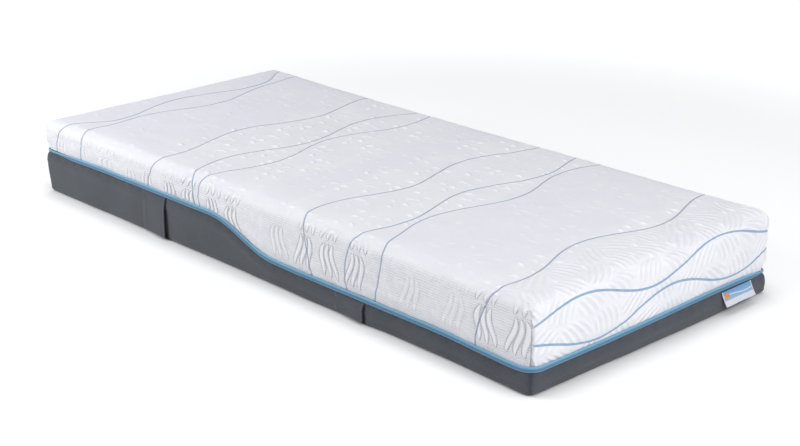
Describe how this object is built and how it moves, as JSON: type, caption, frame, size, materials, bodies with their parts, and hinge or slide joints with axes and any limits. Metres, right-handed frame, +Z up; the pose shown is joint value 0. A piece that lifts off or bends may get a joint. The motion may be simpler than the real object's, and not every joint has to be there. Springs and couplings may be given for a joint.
{
  "type": "pressure relief mattress",
  "caption": "Quilted foam pressure relief mattress with a zip-off white cover, blue zip guard band, dark lower cover and strap handles.",
  "frame": {"origin": "centre of the underside, on the plane that the base panel rests on", "axes": "+X along the length to the foot end with the label, +Y across the width, +Z up"},
  "size_m": [2.0359, 0.93, 0.23],
  "materials": {
    "white_knit": "matte",
    "fibre_wadding": "matte",
    "blue_band": "satin",
    "zip_tape": "matte",
    "dark_border": "matte",
    "base_cloth": "matte",
    "strap_webbing": "matte",
    "label_satin": "satin",
    "visco_foam": "matte",
    "transition_foam": "matte",
    "core_foam": "matte",
    "firm_foam": "matte",
    "heel_foam": "matte",
    "zip_metal": "satin"
  },
  "bodies": {
    "seat_section": {"zip_tape_lower_seat_near": "zip_tape", "zip_tape_lower_seat_far": "zip_tape", "border_panel_near_seat": "dark_border", "border_panel_far_seat": "dark_border", "base_panel_seat": "base_cloth", "core_foam_seat": "core_foam", "side_bolster_near_seat": "firm_foam", "side_bolster_far_seat": "firm_foam", "transition_foam_seat": "transition_foam", "visco_layer_seat": "visco_foam"},
    "back_section": {"zip_tape_lower_back": "zip_tape", "border_panel_near_back": "dark_border", "border_panel_far_back": "dark_border", "base_panel_back": "base_cloth", "core_foam_back": "core_foam", "side_bolster_near_back": "firm_foam", "side_bolster_far_back": "firm_foam", "transition_foam_back": "transition_foam", "visco_layer_back": "visco_foam", "border_panel_head": "dark_border"},
    "leg_section": {"zip_tape_lower_legs": "zip_tape", "border_panel_near_legs": "dark_border", "border_panel_far_legs": "dark_border", "base_panel_legs": "base_cloth", "core_foam_legs": "core_foam", "side_bolster_near_legs": "firm_foam", "side_bolster_far_legs": "firm_foam", "transition_foam_legs": "transition_foam", "visco_layer_legs": "visco_foam", "border_panel_foot": "dark_border", "heel_zone_insert": "heel_foam"},
    "cover_seat": {"top_cover_seat": "white_knit", "quilt_wadding_seat": "fibre_wadding", "zip_guard_band_seat_near": "blue_band", "zip_guard_band_seat_far": "blue_band", "zip_tape_upper_seat_near": "zip_tape", "zip_tape_upper_seat_far": "zip_tape"},
    "cover_back": {"top_cover_back": "white_knit", "quilt_wadding_back": "fibre_wadding", "zip_guard_band_back": "blue_band", "zip_tape_upper_back": "zip_tape"},
    "cover_legs": {"top_cover_legs": "white_knit", "quilt_wadding_legs": "fibre_wadding", "zip_guard_band_legs": "blue_band", "zip_tape_upper_legs": "zip_tape"},
    "slider": {"zip_slider": "zip_metal"},
    "pull": {"zip_pull": "zip_metal"},
    "grip_head_near": {"handle_head_near": "strap_webbing"},
    "grip_foot_near": {"handle_foot_near": "strap_webbing"},
    "grip_head_far": {"handle_head_far": "strap_webbing"},
    "grip_foot_far": {"handle_foot_far": "strap_webbing"},
    "label": {"care_label": "label_satin"}
  },
  "joints": [
    {"name": "back_raise", "type": "hinge", "parent": "seat_section", "child": "back_section", "pos_m": [-0.2, 0, 0.23], "axis": [0, 1, 0], "range_deg": [0, 60]},
    {"name": "leg_raise", "type": "hinge", "parent": "seat_section", "child": "leg_section", "pos_m": [0.2, 0, 0.23], "axis": [0, -1, 0], "range_deg": [0, 25]},
    {"name": "cover_lift", "type": "slide", "parent": "seat_section", "child": "cover_seat", "axis": [0, 0, 1], "range_m": [0, 0.3]},
    {"name": "cover_back_raise", "type": "hinge", "parent": "cover_seat", "child": "cover_back", "pos_m": [-0.2, 0, 0.23], "axis": [0, 1, 0], "range_deg": [0, 60]},
    {"name": "cover_leg_raise", "type": "hinge", "parent": "cover_seat", "child": "cover_legs", "pos_m": [0.2, 0, 0.23], "axis": [0, -1, 0], "range_deg": [0, 25]},
    {"name": "zip_travel", "type": "slide", "parent": "back_section", "child": "slider", "axis": [0, 1, 0], "range_m": [0, 0.7]},
    {"name": "zip_pull_swing", "type": "hinge", "parent": "slider", "child": "pull", "pos_m": [-1.0012, -0.35, 0.145], "axis": [1, 0, 0], "range_deg": [-75, 75]},
    {"name": "grip_head_near_bow", "type": "slide", "parent": "back_section", "child": "grip_head_near", "axis": [0, -1, 0], "range_m": [0, 0.025], "stiffness_N_per_m": 40},
    {"name": "grip_foot_near_bow", "type": "slide", "parent": "leg_section", "child": "grip_foot_near", "axis": [0, -1, 0], "range_m": [0, 0.025], "stiffness_N_per_m": 40},
    {"name": "grip_head_far_bow", "type": "slide", "parent": "back_section", "child": "grip_head_far", "axis": [0, 1, 0], "range_m": [0, 0.025], "stiffness_N_per_m": 40},
    {"name": "grip_foot_far_bow", "type": "slide", "parent": "leg_section", "child": "grip_foot_far", "axis": [0, 1, 0], "range_m": [0, 0.025], "stiffness_N_per_m": 40},
    {"name": "label_flip", "type": "hinge", "parent": "leg_section", "child": "label", "pos_m": [1.0012, 0.323, 0.046], "axis": [0, -1, 0], "range_deg": [-33, 50], "stiffness_Nm_per_rad": 0.002}
  ],
  "couplings": [
    {"joint": "cover_back_raise", "follows": "back_raise", "ratio": 1},
    {"joint": "cover_leg_raise", "follows": "leg_raise", "ratio": 1}
  ]
}
